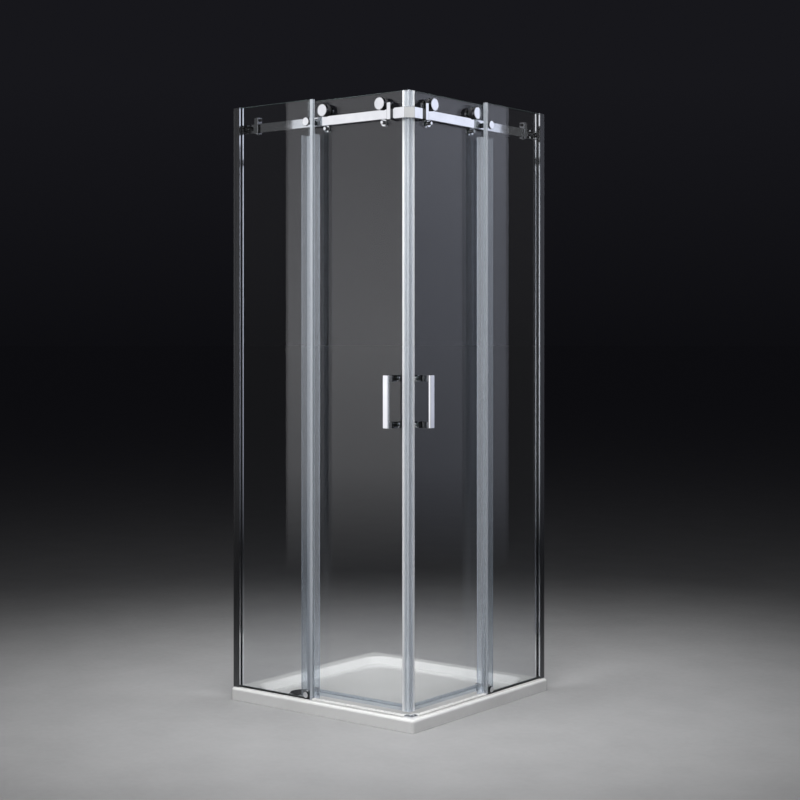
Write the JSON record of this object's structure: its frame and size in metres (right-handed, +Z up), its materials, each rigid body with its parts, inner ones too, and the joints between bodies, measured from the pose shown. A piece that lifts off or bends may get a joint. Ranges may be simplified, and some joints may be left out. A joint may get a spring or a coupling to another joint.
{
  "type": "corner entry shower enclosure",
  "caption": "Square corner-entry shower enclosure: fixed glass panels on the walls, sliding glass doors on roller rails meeting at the front corner, low tray.",
  "frame": {"origin": "middle of the tray's underside, on the floor", "axes": "+Z up; the front corner where the doors meet points to +X -Y; the walls stand at -X and +Y"},
  "size_m": [0.76, 0.76, 1.96],
  "materials": {
    "tray_white": "gloss white acrylic",
    "glass": "clear toughened glass",
    "chrome": "bright chrome plate",
    "polished_aluminium": "polished",
    "steel": "satin stainless",
    "clear_seal": "translucent soft plastic",
    "magnet": "white sleeved magnet strip",
    "rubber": "matt",
    "black_nylon": "moulded nylon",
    "white_nylon": "moulded nylon"
  },
  "bodies": {
    "frame": {"tray": "tray_white", "waste_flange": "chrome", "waste_gasket": "rubber", "waste_nut": "black_nylon", "rail_corner_joint": "chrome", "threshold_corner": "chrome", "glass_bolts": "chrome", "stop_screws": "steel", "stop_bumpers": "rubber", "bracket_screws": "steel", "setting_strips": "rubber", "left_wall_profile": "polished_aluminium", "left_glazing_strips": "clear_seal", "left_fixed_glass": "glass", "left_fixed_seal": "clear_seal", "left_rail": "chrome", "left_rail_standoff": "chrome", "left_rail_wall_bracket": "chrome", "left_rail_stops": "chrome", "left_bottom_guide": "chrome", "left_guide_liner": "white_nylon", "left_threshold": "white_nylon", "right_wall_profile": "polished_aluminium", "right_glazing_strips": "clear_seal", "right_fixed_glass": "glass", "right_fixed_seal": "clear_seal", "right_rail": "chrome", "right_rail_standoff": "chrome", "right_rail_wall_bracket": "chrome", "right_rail_stops": "chrome", "right_bottom_guide": "chrome", "right_guide_liner": "white_nylon", "right_threshold": "white_nylon"},
    "left_door": {"left_door_glass": "glass", "left_magnet_seal": "clear_seal", "left_magnet_strip": "magnet", "left_trailing_seal": "clear_seal", "left_bottom_seal": "clear_seal", "left_handle_bar": "chrome", "left_handle_posts": "chrome", "left_handle_caps": "chrome", "left_roller_axles": "steel", "left_roller_discs": "chrome", "left_lift_pins": "chrome"},
    "right_door": {"right_door_glass": "glass", "right_magnet_seal": "clear_seal", "right_magnet_strip": "magnet", "right_trailing_seal": "clear_seal", "right_bottom_seal": "clear_seal", "right_handle_bar": "chrome", "right_handle_posts": "chrome", "right_handle_caps": "chrome", "right_roller_axles": "steel", "right_roller_discs": "chrome", "right_lift_pins": "chrome"},
    "left_front_wheel": {"left_front_wheel": "black_nylon"},
    "left_rear_wheel": {"left_rear_wheel": "black_nylon"},
    "right_front_wheel": {"right_front_wheel": "black_nylon"},
    "right_rear_wheel": {"right_rear_wheel": "black_nylon"},
    "waste_cover": {"waste_cover": "chrome"}
  },
  "joints": [
    {"name": "left_door_slide", "type": "slide", "parent": "frame", "child": "left_door", "axis": [-1, 0, 0], "range_m": [0, 0.255]},
    {"name": "right_door_slide", "type": "slide", "parent": "frame", "child": "right_door", "axis": [0, 1, 0], "range_m": [0, 0.255]},
    {"name": "left_front_wheel_spin", "type": "hinge", "parent": "left_door", "child": "left_front_wheel", "pos_m": [0.223, -0.331, 1.9235], "axis": [0, 1, 0], "continuous": true},
    {"name": "left_rear_wheel_spin", "type": "hinge", "parent": "left_door", "child": "left_rear_wheel", "pos_m": [-0.01, -0.331, 1.9235], "axis": [0, 1, 0], "continuous": true},
    {"name": "right_front_wheel_spin", "type": "hinge", "parent": "right_door", "child": "right_front_wheel", "pos_m": [0.331, -0.223, 1.9235], "axis": [1, 0, 0], "continuous": true},
    {"name": "right_rear_wheel_spin", "type": "hinge", "parent": "right_door", "child": "right_rear_wheel", "pos_m": [0.331, 0.01, 1.9235], "axis": [1, 0, 0], "continuous": true},
    {"name": "waste_cover_lift", "type": "slide", "parent": "frame", "child": "waste_cover", "axis": [0, 0, 1], "range_m": [0, 0.03]}
  ],
  "couplings": [
    {"joint": "left_front_wheel_spin", "follows": "left_door_slide", "rad_per_m": -54.945},
    {"joint": "left_rear_wheel_spin", "follows": "left_door_slide", "rad_per_m": -54.945},
    {"joint": "right_front_wheel_spin", "follows": "right_door_slide", "rad_per_m": -54.945},
    {"joint": "right_rear_wheel_spin", "follows": "right_door_slide", "rad_per_m": -54.945}
  ]
}
